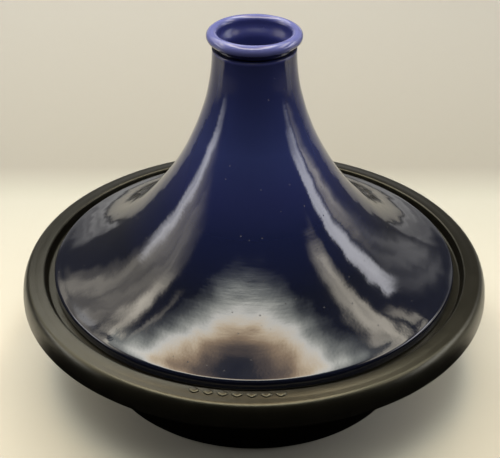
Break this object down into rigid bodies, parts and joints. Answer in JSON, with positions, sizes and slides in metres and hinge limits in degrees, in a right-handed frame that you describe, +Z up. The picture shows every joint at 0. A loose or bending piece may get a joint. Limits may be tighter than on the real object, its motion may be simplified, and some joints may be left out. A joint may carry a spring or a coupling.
{
  "type": "tagine pot",
  "caption": "Round cast-iron cooking dish with a wide seat rim, under a tall flared stoneware cone lid whose hollow knob ends in a rolled lip.",
  "frame": {"origin": "centre of the foot ring, on the surface the dish stands on", "axes": "+Z up, along the axis that both pieces are turned about"},
  "size_m": [0.31, 0.31, 0.2387],
  "materials": {
    "satin_black_enamel": "satin black enamel with a fine grain, on cast iron",
    "cobalt_glaze": "gloss cobalt blue glaze, on stoneware"
  },
  "bodies": {
    "base": {"base": "satin_black_enamel"},
    "lid": {"lid": "cobalt_glaze"}
  },
  "joints": [
    {"name": "lid_lift", "type": "slide", "parent": "base", "child": "lid", "axis": [0, 0, 1], "range_m": [0, 0.2]}
  ]
}
